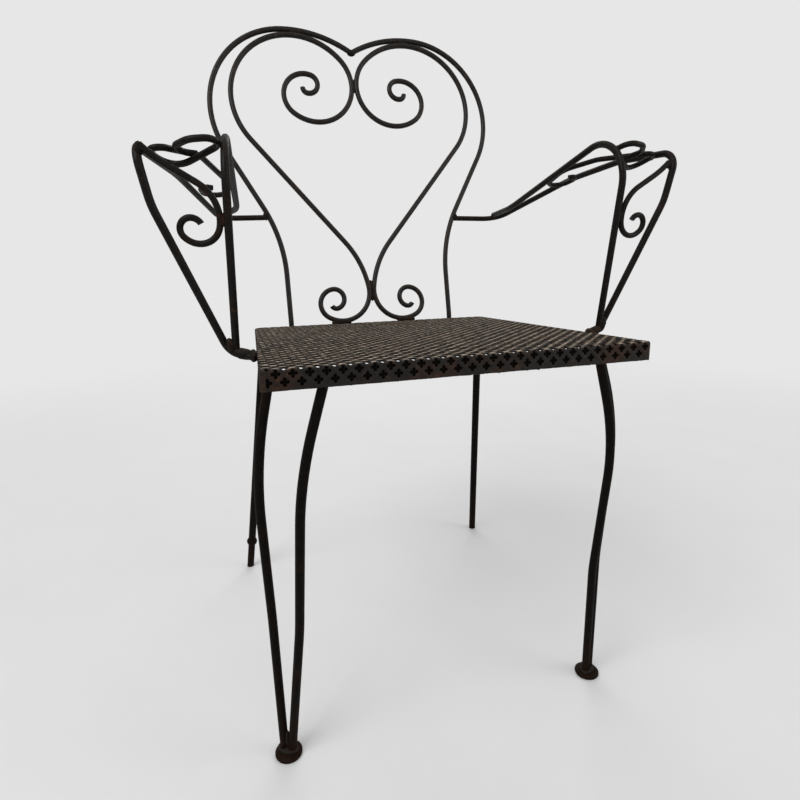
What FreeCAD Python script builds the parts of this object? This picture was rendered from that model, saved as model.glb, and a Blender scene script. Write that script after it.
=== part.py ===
import FreeCAD, Part
import math
import os

# Garden armchair of bent steel rod with a folded perforated sheet seat, in millimetres.
# +Z is up, the sitter faces -Y, the seat's right side (seen from the front) is +X.
# The origin is on the floor, below the middle of the chair.

V = FreeCAD.Vector

# Overall sizes
seat_front_height = 450.0
seat_rear_height = 440.0
seat_front_half_width = 196.0
seat_rear_half_width = 181.0
seat_front_y = -110.0
seat_rear_y = 264.3
back_rake = 13.0
back_plane_y_at_floor = 165.3
origin_shift_y = -129.1

# Rods and sheet
main_rod = 7.5
arm_scroll_rod = 6.0
front_leg_rod = 9.5
rear_leg_rod = 12.0
sheet = 1.2

# Seat pan
apron_height = 19.0
fold_radius = 2.2
front_corner_radius = 5.0
rear_corner_radius = 14.0
bar_height = 16.0
bar_thickness = 4.0

# Holes of the seat sheet
hole_pitch = 28.0
hole_size = 9.5
hole_border = 11.0
apron_hole_size = 5.0
apron_hole_depth = 6.5

# Heart-shaped back, in its own plane: across, and up along the rake
heart_start = (-3.4, 859.4)
heart_heading = 32.0
heart_steps = [
    ("line", 4.0),
    ("arc", 173.0, -36.0),
    ("arc", 117.0, -46.0),
    ("arc", 121.0, -69.0),
    ("line", 93.0),
    ("arc", 210.0, 29.0),
    ("line", 65.0),
]
frame_foot_radius = 40.0
frame_foot_end_height = 421.5

# C scrolls inside the heart, from the upper tip down to the lower tip
scroll_start = (79.1, 805.8)
scroll_heading = 268.0
scroll_steps = [
    ("arc", 8.0, -80.0),
    ("arc", 14.0, -174.0),
    ("arc", 33.0, -158.0),
    ("arc", 57.0, -169.0),
    ("arc", 95.0, -177.0),
    ("line", 195.9),
    ("arc", 140.0, 31.4),
    ("arc", 44.0, 128.0),
    ("arc", 23.0, 142.0),
    ("arc", 15.0, 170.0),
    ("arc", 8.0, 80.0),
]
scroll_rake = 13.5
scroll_top_height = 858.0

# Right arm: corners of each bent rod, each with the radius of its bend
arm_outer_rear = [
    (149.3, 303.0, 596.0, 0),
    (214.0, 281.0, 593.5, 45),
    (258.0, 146.0, 635.0, 150),
]
arm_outer_bow = {"right": [(268.8, 57.0, 643.5, 120)], "left": []}
arm_outer_front = [
    (281.0, -24.0, 640.5, 18),
    (272.5, -20.0, 590.0, 80),
    (217.5, 5.0, 448.0, 16),
    (194.2, -12.0, 444.0, 0),
]
arm_inner_corners = [
    (205.4, 273.0, 599.2, 0),
    (193.5, 198.0, 602.0, 100),
    (207.5, -37.0, 668.5, 42),
    (211.0, -1.8, 450.2, 0),
]
top_scroll_corners = [
    (222.0, 124.0, 622.0, 0),
    (231.0, 122.0, 623.0, 6),
    (235.5, 133.0, 621.0, 8),
    (233.0, 148.0, 618.0, 9),
    (220.0, 157.0, 616.5, 10),
    (206.0, 147.0, 618.0, 14),
    (206.0, 112.0, 628.5, 40),
    (230.0, 50.0, 643.0, 60),
    (258.5, -2.0, 641.0, 6),
    (268.9, -4.0, 640.5, 7),
    (270.9, 10.0, 638.0, 12),
    (260.0, 25.0, 630.0, 14),
    (243.0, 14.0, 629.5, 40),
    (211.6, -8.0, 643.5, 9),
    (216.5, -25.0, 647.0, 10),
    (237.0, -21.0, 645.5, 16),
    (250.0, -3.0, 642.5, 10),
    (243.0, 11.0, 639.5, 9),
    (231.0, 12.0, 638.5, 0),
]

# The arms are bent by hand: how far each front corner is above the middle height and further out
arm_lift = {"right": 6.0, "left": -7.0}
arm_lean = {"right": 0.0, "left": -2.5}
arm_rear_y = 303.0
arm_front_y = -17.0
arm_low = 444.0
arm_high = 640.0

# The rear curl of each top scroll, its first corners, is moved out and along the sloping arm
rear_curl_corners = 7
rear_curl_shift = {"right": (0.0, -28.0), "left": (-1.7, 8.0)}
arm_slope = 0.27

# Scroll between the two arm posts, flat in the plane of the posts
post_foot = (210.7, -4.0, 461.0)
arm_front_corner = (279.0, -20.5, 629.0)
front_scroll_start = {"right": (23.5, 113.0), "left": (23.5, 109.0)}
front_scroll_run = {"right": 23.5, "left": 27.3}
front_scroll_heading = 60.0
front_scroll_steps = [
    ("arc", 10.0, -195.0),
    ("arc", 18.7, -124.0),
    ("arc", 34.8, -72.0),
]
front_scroll_end = ("arc", 100.0, 14.0)

# Legs
side_rod_corners = [
    (179.8, -41.0, 445.0, 0),
    (204.0, -55.0, 345.0, 350),
    (200.0, -46.0, 170.0, 300),
    (199.0, -50.4, 7.0, 0),
]
front_rod_corners = [
    (137.5, -100.2, 445.0, 0),
    (167.0, -100.0, 345.0, 350),
    (175.0, -73.0, 170.0, 300),
    (191.0, -55.6, 7.0, 0),
]
foot_center = (195.0, -53.0)
foot_radius = 15.0
foot_edge = 3.5
foot_dome = 7.0
rear_leg_foot = (219.0, 361.0, 0.0)
rear_leg_top = (168.8, 246.0, 436.0)
stub_rod = 11.5
stub_length = 52.0
collar_radius = 8.6
collar_length = 12.0


def mirrored(shape):
    return shape.mirror(V(0, 0, 0), V(1, 0, 0))


def flat_path(plane, start, heading, steps):
    """Edges of a bent rod's centre line that lies in one plane: (origin, across, up)."""
    origin, across, up = plane
    x, y = start
    angle = math.radians(heading)
    edges = []

    def place(px, py):
        return origin + across * px + up * py

    for step in steps:
        here = place(x, y)
        if step[0] == "line":
            x += step[1] * math.cos(angle)
            y += step[1] * math.sin(angle)
            edges.append(Part.LineSegment(here, place(x, y)).toShape())
            continue
        radius = step[1]
        turn = math.radians(step[2])
        side = math.copysign(1.0, turn)
        cx = x - side * radius * math.sin(angle)
        cy = y + side * radius * math.cos(angle)
        halfway = angle + turn / 2
        middle = place(cx + side * radius * math.sin(halfway), cy - side * radius * math.cos(halfway))
        angle += turn
        x = cx + side * radius * math.sin(angle)
        y = cy - side * radius * math.cos(angle)
        edges.append(Part.Arc(here, middle, place(x, y)).toShape())
    return edges


def corner_arc(before, corner, after, radius):
    """Tangent points and middle of the bend that rounds one corner."""
    back = (before - corner).normalize()
    ahead = (after - corner).normalize()
    half = back.getAngle(ahead) / 2
    reach = radius / math.tan(half)
    bisector = (back + ahead).normalize()
    middle = corner + bisector * (radius / math.sin(half) - radius)
    return corner + back * reach, middle, corner + ahead * reach


def bent_route(corners):
    """Edges of a rod's centre line through corners (x, y, z, bend radius)."""
    points = [V(*corner[:3]) for corner in corners]
    edges = []
    here = points[0]
    for index in range(1, len(points) - 1):
        bend = corner_arc(points[index - 1], points[index], points[index + 1], corners[index][3])
        edges.append(Part.LineSegment(here, bend[0]).toShape())
        edges.append(Part.Arc(*bend).toShape())
        here = bend[2]
    edges.append(Part.LineSegment(here, points[-1]).toShape())
    return edges


def rod(edges, diameter):
    """Round rod swept along its centre line."""
    first = edges[0]
    start = first.valueAt(first.FirstParameter)
    tangent = first.tangentAt(first.FirstParameter)
    ring = Part.Wire([Part.Circle(start, tangent, diameter / 2).toShape()])
    return Part.Wire(edges).makePipeShell([ring], True, False)


def raked_plane(rake, height, y_at_height):
    """Plane of the back: up runs along the rake, and measures from the floor."""
    angle = math.radians(rake)
    up = V(0, math.sin(angle), math.cos(angle))
    origin = V(0, y_at_height - height * math.tan(angle), 0)
    return origin, V(1, 0, 0), up


def back_frame():
    """Right half of the heart, mitred at the notch; its foot is set upright on the rear apron."""
    plane = raked_plane(back_rake, 0.0, back_plane_y_at_floor)
    edges = flat_path(plane, heart_start, heart_heading, heart_steps)
    end = edges[-1].valueAt(edges[-1].LastParameter)
    rake = math.radians(back_rake)
    center = end + V(0, math.cos(rake), -math.sin(rake)) * frame_foot_radius

    def on_bend(angle):
        return center + V(0, -math.cos(angle), math.sin(angle)) * frame_foot_radius

    foot_top = on_bend(0.0)
    edges.append(Part.Arc(end, on_bend(rake / 2), foot_top).toShape())
    edges.append(Part.LineSegment(foot_top, V(foot_top.x, foot_top.y, frame_foot_end_height)).toShape())
    beyond_notch = Part.makeBox(100, 1000, 1000, V(-100, 0, 0))
    return rod(edges, main_rod).cut(beyond_notch)


def heart_scroll():
    """Right C scroll, touching the heart at its top and resting on the seat's rear edge."""
    top_y = back_plane_y_at_floor + scroll_top_height * math.tan(math.radians(back_rake))
    plane = raked_plane(scroll_rake, scroll_top_height, top_y)
    return rod(flat_path(plane, scroll_start, scroll_heading, scroll_steps), main_rod)


def settled(point, side):
    """A point of an arm moved by its own lift and lean; the welds at back and seat stay where they are."""
    x, y, z = point[:3]
    along = (arm_rear_y - y) / (arm_rear_y - arm_front_y)
    above = (z - arm_low) / (arm_high - arm_low)
    share = min(max(along, 0.0), 1.0) * min(max(above, 0.0), 1.0)
    return (x + arm_lean[side] * share, y, z + arm_lift[side] * share) + tuple(point[3:])


def arm_rod(corners, side, diameter):
    return rod(bent_route([settled(corner, side) for corner in corners]), diameter)


def top_scroll_route(side):
    """Corners of one arm's top scroll, with its rear curl where it was bent on that side."""
    out, along = rear_curl_shift[side]
    route = []
    for index, (x, y, z, radius) in enumerate(top_scroll_corners):
        if index < rear_curl_corners:
            route.append((x + out, y + along, z - along * arm_slope, radius))
        else:
            route.append((x, y, z, radius))
    return route


def arm_front_scroll(side):
    """S scroll between the posts, welded to the inner post and under the outer rod's corner."""
    foot = V(*settled(post_foot, side))
    up = (V(*settled(arm_inner_corners[2], side)[:3]) - foot).normalize()
    out = V(*settled(arm_front_corner, side)) - foot
    out = (out - up * out.dot(up)).normalize()
    steps = front_scroll_steps + [("line", front_scroll_run[side]), front_scroll_end]
    edges = flat_path((foot, out, up), front_scroll_start[side], front_scroll_heading, steps)
    return rod(edges, arm_scroll_rod)


def arm(side):
    outer_corners = arm_outer_rear + arm_outer_bow[side] + arm_outer_front
    return {
        "arm_outer_rod": arm_rod(outer_corners, side, main_rod),
        "arm_inner_rod": arm_rod(arm_inner_corners, side, main_rod),
        "arm_top_scroll": arm_rod(top_scroll_route(side), side, arm_scroll_rod),
        "arm_front_scroll": arm_front_scroll(side),
    }


def front_foot():
    """Domed disc under the two rods of a front leg."""
    profile = [
        Part.LineSegment(V(0, 0, 0), V(foot_radius - 2, 0, 0)).toShape(),
        Part.Arc(V(foot_radius - 2, 0, 0), V(foot_radius - 0.5, 0, 0.6), V(foot_radius, 0, 2)).toShape(),
        Part.LineSegment(V(foot_radius, 0, 2), V(foot_radius, 0, foot_edge)).toShape(),
        Part.Arc(V(foot_radius, 0, foot_edge), V(foot_radius - 3, 0, 5.9), V(foot_radius - 8, 0, foot_dome)).toShape(),
        Part.LineSegment(V(foot_radius - 8, 0, foot_dome), V(0, 0, foot_dome)).toShape(),
        Part.LineSegment(V(0, 0, foot_dome), V(0, 0, 0)).toShape(),
    ]
    disc = Part.Face(Part.Wire(profile)).revolve(V(0, 0, 0), V(0, 0, 1), 360)
    disc.translate(V(foot_center[0], foot_center[1], 0))
    return disc


def leg_axis():
    foot = V(*rear_leg_foot)
    return foot, (V(*rear_leg_top) - foot).normalize()


def rear_leg(start_length, diameter, end_length=None):
    """Straight splayed rod, cut level at the floor; lengths run up from the floor."""
    foot, along = leg_axis()
    total = (V(*rear_leg_top) - foot).Length
    end_length = total if end_length is None else end_length
    below = 20.0 if start_length == 0 else 0.0
    start = foot + along * (start_length - below)
    solid = Part.makeCylinder(diameter / 2, end_length - start_length + below, start, along)
    floor_block = Part.makeBox(400, 400, 100, V(foot.x - 200, foot.y - 200, -100))
    return solid.cut(floor_block)


def rear_leg_collar():
    """Swollen weld that joins the new end to the shortened leg."""
    foot, along = leg_axis()
    half = collar_length / 2
    profile = [
        Part.LineSegment(V(0, 0, -half), V(stub_rod / 2, 0, -half)).toShape(),
        Part.Arc(V(stub_rod / 2, 0, -half), V(collar_radius, 0, 0), V(rear_leg_rod / 2, 0, half)).toShape(),
        Part.LineSegment(V(rear_leg_rod / 2, 0, half), V(0, 0, half)).toShape(),
        Part.LineSegment(V(0, 0, half), V(0, 0, -half)).toShape(),
    ]
    body = Part.Face(Part.Wire(profile)).revolve(V(0, 0, 0), V(0, 0, 1), 360)
    body.Placement = FreeCAD.Placement(foot + along * (stub_length + half), FreeCAD.Rotation(V(0, 0, 1), along))
    return body


def seat_placement():
    """The seat is drawn level from its front edge, then tilted down to the rear."""
    fall = seat_front_height - seat_rear_height
    run = seat_rear_y - seat_front_y
    tilt = math.degrees(math.atan2(fall, run))
    return FreeCAD.Placement(V(0, seat_front_y, seat_front_height), FreeCAD.Rotation(V(1, 0, 0), -tilt))


def seat_length():
    return math.hypot(seat_rear_y - seat_front_y, seat_front_height - seat_rear_height)


def half_width(y):
    share = y / seat_length()
    return seat_front_half_width + (seat_rear_half_width - seat_front_half_width) * share


def seat_outline(inset, z):
    """Closed trapezoid with rounded corners, set in from the seat's outer faces."""
    front = inset
    rear = seat_length() - inset
    corners = [
        V(-half_width(front) + inset, front, z),
        V(half_width(front) - inset, front, z),
        V(half_width(rear) - inset, rear, z),
        V(-half_width(rear) + inset, rear, z),
    ]
    radii = [front_corner_radius, front_corner_radius, rear_corner_radius, rear_corner_radius]
    bends = []
    for index in range(4):
        radius = radii[index] - inset if radii[index] > inset + 0.5 else 0.5
        bends.append(corner_arc(corners[index - 1], corners[index], corners[(index + 1) % 4], radius))
    edges = []
    for index in range(4):
        first, middle, last = bends[index]
        edges.append(Part.LineSegment(bends[index - 1][2], first).toShape())
        edges.append(Part.Arc(first, middle, last).toShape())
    return Part.Wire(edges)


def tray(inset, top, bottom, round_over):
    """Solid block inside the outline with its top edge rounded over."""
    block = Part.Face(seat_outline(inset, bottom)).extrude(V(0, 0, top - bottom))
    rim = [edge for edge in block.Edges if edge.BoundBox.ZMin > top - 0.01]
    return block.makeFillet(round_over, rim)


def diamond(center, first, second, size, depth):
    """Four-sided prism that cuts one hole: it starts at its center, square to both directions."""
    half = size / 2
    points = [center - first * half, center - second * half, center + first * half, center + second * half]
    return Part.Face(Part.makePolygon(points + points[:1])).extrude(first.cross(second) * depth)


def top_holes():
    """Staggered rows of holes across the seat."""
    tools = []
    rows = int((seat_length() - 2 * hole_border) / (hole_pitch / 2))
    margin = (seat_length() - rows * hole_pitch / 2) / 2
    depth = 2 * fold_radius + 2
    for row in range(rows + 1):
        y = margin + row * hole_pitch / 2
        count = int((half_width(y) - hole_border) / hole_pitch)
        shift = hole_pitch / 2 if row % 2 else 0.0
        for column in range(-count - 1, count + 1):
            x = column * hole_pitch + shift
            if abs(x) < half_width(y) - hole_border:
                tools.append(diamond(V(x, y, -depth / 2), V(1, 0, 0), V(0, 1, 0), hole_size, depth))
    return tools


def apron_holes():
    """One row of smaller holes through each apron, below its fold."""
    tools = []
    reach = 3 * sheet
    z = -apron_hole_depth
    for y in (0.0, seat_length()):
        count = int((half_width(y) - hole_border) / hole_pitch)
        for column in range(-count, count + 1):
            center = V(column * hole_pitch, y + reach, z)
            tools.append(diamond(center, V(1, 0, 0), V(0, 0, 1), apron_hole_size, 2 * reach))
    rows = int((seat_length() - 2 * hole_border) / hole_pitch)
    margin = (seat_length() - rows * hole_pitch) / 2
    for row in range(rows + 1):
        y = margin + row * hole_pitch
        for x in (half_width(y), -half_width(y)):
            tools.append(diamond(V(x - reach, y, z), V(0, 1, 0), V(0, 0, 1), apron_hole_size, 2 * reach))
    return tools


def seat_pan():
    """One perforated sheet folded down into aprons on all four sides."""
    pan = tray(0.0, 0.0, -apron_height, fold_radius)
    hollow = tray(sheet, -sheet, -apron_height - 1, fold_radius - sheet)
    pan = pan.cut(hollow)
    pan = pan.cut(Part.makeCompound(top_holes() + apron_holes()))
    pan.Placement = seat_placement()
    return pan


def seat_bar_frame():
    """Flat bar bent into a hoop behind the lower strip of the aprons, which carries the legs."""
    outer = Part.Face(seat_outline(sheet, -apron_height)).extrude(V(0, 0, bar_height))
    inner = Part.Face(seat_outline(sheet + bar_thickness, -apron_height - 1)).extrude(V(0, 0, bar_height + 2))
    hoop = outer.cut(inner)
    hoop.Placement = seat_placement()
    return hoop


def side_parts(side):
    """Every piece of one side, drawn on the right."""
    parts = {
        "back_frame": back_frame(),
        "heart_scroll": heart_scroll(),
        "front_leg_side_rod": rod(bent_route(side_rod_corners), front_leg_rod),
        "front_leg_front_rod": rod(bent_route(front_rod_corners), front_leg_rod),
        "front_foot": front_foot(),
    }
    parts.update(arm(side))
    if side == "right":
        parts["rear_leg"] = rear_leg(0.0, rear_leg_rod)
    else:
        parts["rear_leg"] = rear_leg(stub_length + collar_length, rear_leg_rod)
        parts["rear_leg_collar"] = rear_leg_collar()
        parts["rear_leg_stub"] = rear_leg(0.0, stub_rod, stub_length)
    return parts


def chair():
    parts = {"seat_pan": seat_pan(), "seat_bar_frame": seat_bar_frame()}
    for name, shape in side_parts("right").items():
        parts[name + "_right"] = shape
    for name, shape in side_parts("left").items():
        parts[name + "_left"] = mirrored(shape)
    return parts


os.makedirs("parts", exist_ok=True)
for node, shape in chair().items():
    shape.translate(V(0, origin_shift_y, 0))
    shape.exportStep("parts/" + node + ".step")
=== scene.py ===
"""Garden armchair of bent steel rod with a perforated sheet seat.

The rods of the CAD model keep their shape and get their coat. The seat sheet and its bar are made
anew with the clover holes of the real sheet, and weld beads are laid where the rods meet.
All measures are metres.
"""

import math

import bpy
import numpy as np
from mathutils import Matrix, Vector


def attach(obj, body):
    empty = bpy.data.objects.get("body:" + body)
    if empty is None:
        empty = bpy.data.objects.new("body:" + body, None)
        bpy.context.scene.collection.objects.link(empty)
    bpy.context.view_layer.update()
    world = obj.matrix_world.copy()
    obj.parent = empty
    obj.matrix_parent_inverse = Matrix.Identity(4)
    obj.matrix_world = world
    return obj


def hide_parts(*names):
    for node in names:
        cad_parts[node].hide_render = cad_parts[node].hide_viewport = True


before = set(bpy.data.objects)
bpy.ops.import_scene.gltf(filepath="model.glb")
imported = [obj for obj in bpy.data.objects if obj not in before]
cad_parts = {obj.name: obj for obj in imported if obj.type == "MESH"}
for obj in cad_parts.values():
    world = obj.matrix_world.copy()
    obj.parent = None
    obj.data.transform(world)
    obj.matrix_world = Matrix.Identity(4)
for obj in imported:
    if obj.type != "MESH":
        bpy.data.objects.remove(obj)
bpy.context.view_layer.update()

bl_info = {
    "name": "Garden armchair",
    "version": (1, 0, 0),
    "blender": (4, 5, 0),
    "location": "3D View > Sidebar > Garden armchair",
    "description": "Finish and details of a bent rod garden armchair with a perforated sheet seat",
    "category": "Object",
}


def both_sides(*names):
    """Names of the right and the left part of each pair."""
    return [name + side for name in names for side in ("_right", "_left")]


# Parts of the CAD model by their coat
NODES = {
    "coated_rod": both_sides("back_frame", "heart_scroll"),
    "arm_rod": both_sides("arm_outer_rod", "arm_inner_rod", "arm_top_scroll", "arm_front_scroll"),
    "leg_rod": both_sides("front_leg_side_rod", "front_leg_front_rod", "rear_leg", "front_foot")
    + ["rear_leg_collar_left", "rear_leg_stub_left"],
    "seat_bar": ["seat_bar_frame", "seat_pan"],
}

# Ways in which the weld beads run, on the right side
ACROSS = (1.0, 0.0, 0.0)
TO_THE_REAR = (0.0, 1.0, 0.0)
UPRIGHT = (0.0, 0.0, 1.0)
UP_THE_BACK = (0.0, 0.225, 0.974)
DOWN_THE_ARM = (0.16, -0.98, 0.1)
UP_THE_POST = (0.03, 0.16, -0.98)
BETWEEN_THE_POSTS = (0.19, -0.08, 0.98)
ALONG_THE_RAIL = (0.16, 0.98, -0.04)
OVER_THE_RAIL = (0.70, -0.70, 0.14)
ALONG_THE_ARM_FOOT = (0.95, 0.25, 0.20)
ACROSS_THE_LEG_FOOT = (0.0107, 0.0068, 0.0)

# Weld beads: place of the middle, way the bead runs, and its length, width and height
BACK_MIDDLE_WELDS = [
    ((0.0, 0.2302, 0.8394), ACROSS, (0.0125, 0.0084, 0.0090)),
    ((0.0, 0.2181, 0.7905), UP_THE_BACK, (0.0200, 0.0060, 0.0060)),
    ((0.0, 0.1450, 0.4872), UP_THE_BACK, (0.0320, 0.0098, 0.0076)),
]
BACK_SIDE_WELDS = [
    ((0.0839, 0.2350, 0.8611), ACROSS, (0.0200, 0.0052, 0.0050)),
    ((0.0470, 0.1334, 0.4420), ACROSS, (0.0220, 0.0104, 0.0100)),
    ((0.0600, 0.1334, 0.4414), ACROSS, (0.0130, 0.0090, 0.0080)),
    ((0.1269, 0.1352, 0.4335), UPRIGHT, (0.0140, 0.0080, 0.0080)),
]
ARM_WELDS = {
    "right": [
        ((0.1494, 0.1735, 0.5980), UP_THE_BACK, (0.0120, 0.0094, 0.0090)),
        ((0.2057, 0.1447, 0.5993), ALONG_THE_RAIL, (0.0170, 0.0084, 0.0084)),
        ((0.2082, 0.1450, 0.5972), OVER_THE_RAIL, (0.0170, 0.0072, 0.0072)),
        ((0.2150, -0.1320, 0.4545), BETWEEN_THE_POSTS, (0.0190, 0.0080, 0.0084)),
        ((0.2040, -0.1336, 0.4476), ALONG_THE_ARM_FOOT, (0.0240, 0.0104, 0.0104)),
        ((0.1948, -0.1370, 0.4452), TO_THE_REAR, (0.0180, 0.0080, 0.0120)),
        ((0.2130, -0.1504, 0.5774), UP_THE_POST, (0.0120, 0.0058, 0.0056)),
        ((0.2747, -0.1506, 0.6332), UP_THE_POST, (0.0110, 0.0062, 0.0060)),
        ((0.2101, -0.1397, 0.6493), DOWN_THE_ARM, (0.0100, 0.0058, 0.0056)),
        ((0.2034, -0.0355, 0.6361), DOWN_THE_ARM, (0.0100, 0.0054, 0.0054)),
        ((0.2729, -0.1207, 0.6442), DOWN_THE_ARM, (0.0110, 0.0058, 0.0056)),
    ],
    "left": [
        ((0.1494, 0.1735, 0.5980), UP_THE_BACK, (0.0120, 0.0094, 0.0090)),
        ((0.2055, 0.1447, 0.5984), ALONG_THE_RAIL, (0.0170, 0.0084, 0.0084)),
        ((0.2080, 0.1450, 0.5963), OVER_THE_RAIL, (0.0170, 0.0072, 0.0072)),
        ((0.2150, -0.1322, 0.4542), BETWEEN_THE_POSTS, (0.0190, 0.0082, 0.0086)),
        ((0.2040, -0.1336, 0.4470), ALONG_THE_ARM_FOOT, (0.0240, 0.0110, 0.0110)),
        ((0.1948, -0.1370, 0.4448), TO_THE_REAR, (0.0180, 0.0080, 0.0124)),
        ((0.2115, -0.1508, 0.5722), UP_THE_POST, (0.0120, 0.0058, 0.0056)),
        ((0.2744, -0.1496, 0.6295), UP_THE_POST, (0.0120, 0.0072, 0.0070)),
        ((0.2079, -0.1409, 0.6372), DOWN_THE_ARM, (0.0100, 0.0058, 0.0056)),
        ((0.2003, -0.0040, 0.6203), DOWN_THE_ARM, (0.0100, 0.0054, 0.0054)),
        ((0.2707, -0.1209, 0.6324), DOWN_THE_ARM, (0.0110, 0.0058, 0.0056)),
    ],
}
LEG_WELDS = [
    ((0.1950, -0.1821, 0.0068), ACROSS_THE_LEG_FOOT, (0.0250, 0.0160, 0.0072)),
    ((0.1949, -0.1821, 0.0190), UPRIGHT, (0.0240, 0.0074, 0.0072)),
    ((0.1400, -0.2332, 0.4350), UPRIGHT, (0.0130, 0.0090, 0.0070)),
    ((0.1872, -0.1719, 0.4330), UPRIGHT, (0.0130, 0.0070, 0.0090)),
    ((0.1752, 0.1205, 0.4255), UPRIGHT, (0.0150, 0.0090, 0.0090)),
]
SIDES = {"right": 1.0, "left": -1.0}

# The bead that all welds start from
BEAD_SEGMENTS = 12
BEAD_RINGS = 12

# Cuts in each side of a tile, which give its hole 16 corners, and the factor of a hole's reach
# within which a vertex is one of them
LOBE_CUTS = 3
HOLE_SLACK = 1.04

# Steps of a fold and of a rounded corner, and vertices this near to each other are one
FOLD_STEPS = 4
CORNER_STEPS = 6
MERGE = 0.000001

# How far from its line a cut looks for faces, on the flat sheet and across a fold
CUT_REACH = 0.012
FOLD_CUT_REACH = 0.009

# Vertices this near to the lower edge of the aprons wander, and the draw that moves them
HEM_REACH = 0.0001
HEM_SEED = 4

# Edges steeper than this stay sharp on the new pieces and at the rods' cut ends, and vertices of a
# rod this near to each other are shaded as one
PIECE_ANGLE = math.radians(35.0)
ROD_ANGLE = math.radians(38.0)
ROD_MERGE = 0.00002

# Edges of the bar steeper than this are rounded by this much
BAR_ANGLE = math.radians(50.0)
BAR_ROUNDING = 0.0005

# What sets the coats apart: shares of rust, wear, and dust with its painted sheen on what faces up,
# height of the rust above the floor, roughness, shine, and how deep the tone is, which on the legs
# and the seat bar is partly painted shade (1 is the colour as set)
COATS = {
    "coated_rod": dict(rust_share=0.25, worn_share=0.35, dust_and_sheen_share=0.05, shine=0.16),
    "arm_rod": dict(rust_share=0.25, worn_share=0.25, dust_and_sheen_share=0.02, shine=0.07, tone_and_shade=0.75),
    # The legs are deepened partly as painted shade under the seat, the bar as painted shade behind
    # the aprons
    "leg_rod": dict(rust_share=0.3, worn_share=0.2, floor_rust=0.08, shine=0.03, tone_and_shade=0.45),
    "seat_bar": dict(rust_share=0.1, worn_share=0.0, roughness=0.6, shine=0.02, tone_and_shade=0.3),
    "sheet_steel": dict(rust_share=0.45, worn_share=0.35, roughness=0.45, shine=0.15, tone_and_shade=0.9),
    "weld_bead": dict(
        rust_share=0.5, worn_share=0.2, dust_and_sheen_share=0.03, roughness=0.5, shine=0.06, tone_and_shade=0.8
    ),
}

# Lamps: name, place, point they face, width and height, and power as a share of the setting
LAMPS = [
    ("key", (-1.9, -1.3, 2.6), (0.0, 0.0, 0.45), (1.8, 1.8), 1.6),
    ("fill", (2.2, -1.5, 1.5), (0.0, 0.0, 0.5), (1.6, 1.6), 0.6),
    ("rear", (0.6, 2.2, 1.9), (0.0, 0.0, 0.5), (2.2, 1.4), 0.8),
]

# Side of the floor, and width of the camera's picture in millimetres
FLOOR_SIZE = 60.0
PICTURE_WIDTH = 36.0


class ChairFinish(bpy.types.PropertyGroup):
    coat_colour: bpy.props.FloatVectorProperty(
        name="Coat colour",
        description="Old dark coat of paint on the rods",
        default=(0.0085, 0.0068, 0.0055),
        size=3,
        min=0.0,
        max=1.0,
        subtype="COLOR",
    )
    worn_colour: bpy.props.FloatVectorProperty(
        name="Worn colour",
        description="Bare steel that shows where the coat is rubbed thin",
        default=(0.060, 0.048, 0.038),
        size=3,
        min=0.0,
        max=1.0,
        subtype="COLOR",
    )
    rust_colour: bpy.props.FloatVectorProperty(
        name="Rust colour",
        description="Brown rust of the legs, welds and aprons",
        default=(0.050, 0.020, 0.009),
        size=3,
        min=0.0,
        max=1.0,
        subtype="COLOR",
    )
    # Colour of the dust on what faces up, which also paints the sheen of the light falling from
    # above
    dust_and_sheen_colour: bpy.props.FloatVectorProperty(
        name="Dust colour",
        description="Brown grey dust and chalked paint on what faces up",
        default=(0.480, 0.385, 0.295),
        size=3,
        min=0.0,
        max=1.0,
        subtype="COLOR",
    )
    pit_size: bpy.props.FloatProperty(
        name="Pit size",
        description="Width of the small pits and brush marks in the coat",
        default=0.0011,
        min=0.0002,
        max=0.01,
        unit="LENGTH",
    )


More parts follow.
